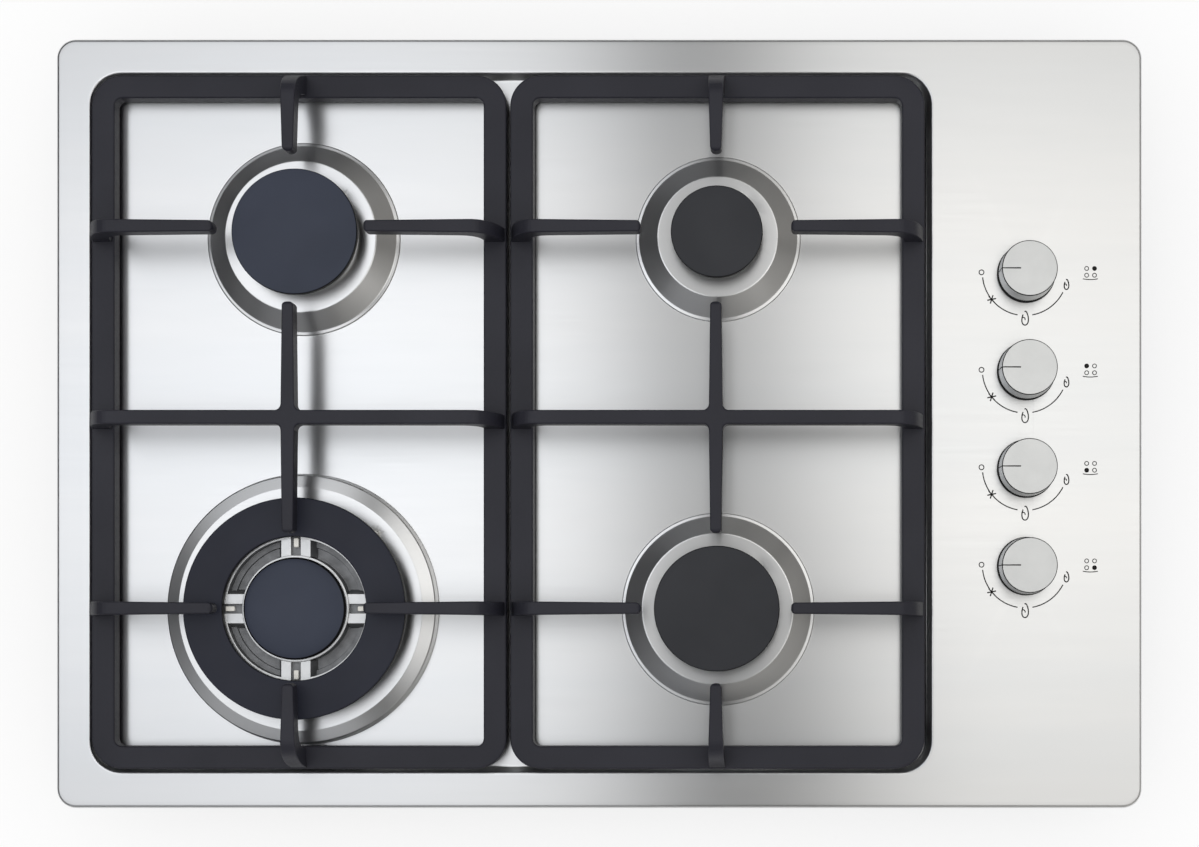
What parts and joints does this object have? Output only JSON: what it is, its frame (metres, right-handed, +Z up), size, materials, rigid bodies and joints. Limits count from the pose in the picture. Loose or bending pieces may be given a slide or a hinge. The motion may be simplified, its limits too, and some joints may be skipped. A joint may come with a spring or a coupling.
{
  "type": "gas cooktop",
  "caption": "Built-in stainless gas cooktop with a wok burner, cast pan supports and side controls, knobs that push and turn.",
  "frame": {"origin": "middle of the underside of the burner box, below the middle of the plate", "axes": "+X to the right along the plate's length, towards the knobs, +Y to the back, +Z up"},
  "size_m": [0.72, 0.51, 0.0964],
  "materials": {
    "brushed_steel": "satin brushed along the length",
    "galvanised_steel": "zinc coated sheet",
    "cast_enamel": "matt black vitreous enamel on cast iron",
    "cap_enamel": "matt black vitreous enamel",
    "die_cast_aluminium": "die cast, machined faces",
    "knob_metal": "satin metallised",
    "black_rubber": "matt",
    "brass": "turned",
    "black_plastic": "moulded",
    "porcelain": "unglazed"
  },
  "bodies": {
    "root": {"hob_plate": "brushed_steel", "burner_box": "galvanised_steel", "worktop_gasket": "black_rubber", "rear_right_burner_cup": "die_cast_aluminium", "rear_right_jet": "brass", "rear_right_electrode": "porcelain", "rear_right_supply_tube": "die_cast_aluminium", "rear_left_burner_cup": "die_cast_aluminium", "rear_left_jet": "brass", "rear_left_electrode": "porcelain", "rear_left_supply_tube": "die_cast_aluminium", "front_left_burner_cup": "die_cast_aluminium", "front_left_jet": "brass", "front_left_electrode": "porcelain", "front_left_supply_tube": "die_cast_aluminium", "front_right_burner_cup": "die_cast_aluminium", "front_right_jet": "brass", "front_right_electrode": "porcelain", "front_right_supply_tube": "die_cast_aluminium", "rear_right_knob_seal": "black_rubber", "rear_right_valve_body": "die_cast_aluminium", "rear_left_knob_seal": "black_rubber", "rear_left_valve_body": "die_cast_aluminium", "front_left_knob_seal": "black_rubber", "front_left_valve_body": "die_cast_aluminium", "front_right_knob_seal": "black_rubber", "front_right_valve_body": "die_cast_aluminium", "gas_manifold": "galvanised_steel", "gas_inlet_elbow": "brass", "terminal_block": "black_plastic", "cable_gland": "black_plastic", "spark_module": "black_plastic", "worktop_clamp_1": "galvanised_steel", "worktop_clamp_2": "galvanised_steel", "worktop_clamp_3": "galvanised_steel", "worktop_clamp_4": "galvanised_steel"},
    "left_support": {"left_pan_support": "cast_enamel"},
    "right_support": {"right_pan_support": "cast_enamel"},
    "rear_right_head": {"rear_right_burner_head": "die_cast_aluminium"},
    "rear_right_cap": {"rear_right_burner_cap": "cap_enamel"},
    "rear_left_head": {"rear_left_burner_head": "die_cast_aluminium"},
    "rear_left_cap": {"rear_left_burner_cap": "cap_enamel"},
    "front_left_head": {"front_left_burner_head": "die_cast_aluminium"},
    "front_left_ring": {"front_left_ring_cap": "cap_enamel"},
    "front_left_inner": {"front_left_inner_cap": "cap_enamel"},
    "front_right_head": {"front_right_burner_head": "die_cast_aluminium"},
    "front_right_cap": {"front_right_burner_cap": "cap_enamel"},
    "rear_right_plug": {"rear_right_valve_plug": "brass"},
    "rear_right_control": {"rear_right_knob": "knob_metal", "rear_right_valve_spindle": "galvanised_steel"},
    "rear_left_plug": {"rear_left_valve_plug": "brass"},
    "rear_left_control": {"rear_left_knob": "knob_metal", "rear_left_valve_spindle": "galvanised_steel"},
    "front_left_plug": {"front_left_valve_plug": "brass"},
    "front_left_control": {"front_left_knob": "knob_metal", "front_left_valve_spindle": "galvanised_steel"},
    "front_right_plug": {"front_right_valve_plug": "brass"},
    "front_right_control": {"front_right_knob": "knob_metal", "front_right_valve_spindle": "galvanised_steel"}
  },
  "joints": [
    {"name": "left_support_lift", "type": "slide", "parent": "root", "child": "left_support", "axis": [0, 0, 1], "range_m": [0, 0.06]},
    {"name": "right_support_lift", "type": "slide", "parent": "root", "child": "right_support", "axis": [0, 0, 1], "range_m": [0, 0.06]},
    {"name": "rear_right_head_lift", "type": "slide", "parent": "root", "child": "rear_right_head", "axis": [0, 0, 1], "range_m": [0, 0.026]},
    {"name": "rear_right_cap_lift", "type": "slide", "parent": "rear_right_head", "child": "rear_right_cap", "axis": [0, 0, 1], "range_m": [0, 0.026]},
    {"name": "rear_left_head_lift", "type": "slide", "parent": "root", "child": "rear_left_head", "axis": [0, 0, 1], "range_m": [0, 0.026]},
    {"name": "rear_left_cap_lift", "type": "slide", "parent": "rear_left_head", "child": "rear_left_cap", "axis": [0, 0, 1], "range_m": [0, 0.026]},
    {"name": "front_left_head_lift", "type": "slide", "parent": "root", "child": "front_left_head", "axis": [0, 0, 1], "range_m": [0, 0.004]},
    {"name": "front_left_ring_cap_lift", "type": "slide", "parent": "front_left_head", "child": "front_left_ring", "axis": [0, 0, 1], "range_m": [0, 0.004]},
    {"name": "front_left_inner_cap_lift", "type": "slide", "parent": "front_left_head", "child": "front_left_inner", "axis": [0, 0, 1], "range_m": [0, 0.026]},
    {"name": "front_right_head_lift", "type": "slide", "parent": "root", "child": "front_right_head", "axis": [0, 0, 1], "range_m": [0, 0.026]},
    {"name": "front_right_cap_lift", "type": "slide", "parent": "front_right_head", "child": "front_right_cap", "axis": [0, 0, 1], "range_m": [0, 0.026]},
    {"name": "rear_right_knob_turn", "type": "hinge", "parent": "root", "child": "rear_right_plug", "pos_m": [0.283, 0.09925, 0.0293], "axis": [0, 0, 1], "range_deg": [0, 165]},
    {"name": "rear_right_knob_push", "type": "slide", "parent": "rear_right_plug", "child": "rear_right_control", "axis": [0, 0, 1], "range_m": [-0.003, 0], "stiffness_N_per_m": 400, "springref_m": 0.004},
    {"name": "rear_left_knob_turn", "type": "hinge", "parent": "root", "child": "rear_left_plug", "pos_m": [0.283, 0.03465, 0.0293], "axis": [0, 0, 1], "range_deg": [0, 165]},
    {"name": "rear_left_knob_push", "type": "slide", "parent": "rear_left_plug", "child": "rear_left_control", "axis": [0, 0, 1], "range_m": [-0.003, 0], "stiffness_N_per_m": 400, "springref_m": 0.004},
    {"name": "front_left_knob_turn", "type": "hinge", "parent": "root", "child": "front_left_plug", "pos_m": [0.283, -0.02995, 0.0293], "axis": [0, 0, 1], "range_deg": [0, 165]},
    {"name": "front_left_knob_push", "type": "slide", "parent": "front_left_plug", "child": "front_left_control", "axis": [0, 0, 1], "range_m": [-0.003, 0], "stiffness_N_per_m": 400, "springref_m": 0.004},
    {"name": "front_right_knob_turn", "type": "hinge", "parent": "root", "child": "front_right_plug", "pos_m": [0.283, -0.09455, 0.0293], "axis": [0, 0, 1], "range_deg": [0, 165]},
    {"name": "front_right_knob_push", "type": "slide", "parent": "front_right_plug", "child": "front_right_control", "axis": [0, 0, 1], "range_m": [-0.003, 0], "stiffness_N_per_m": 400, "springref_m": 0.004}
  ]
}
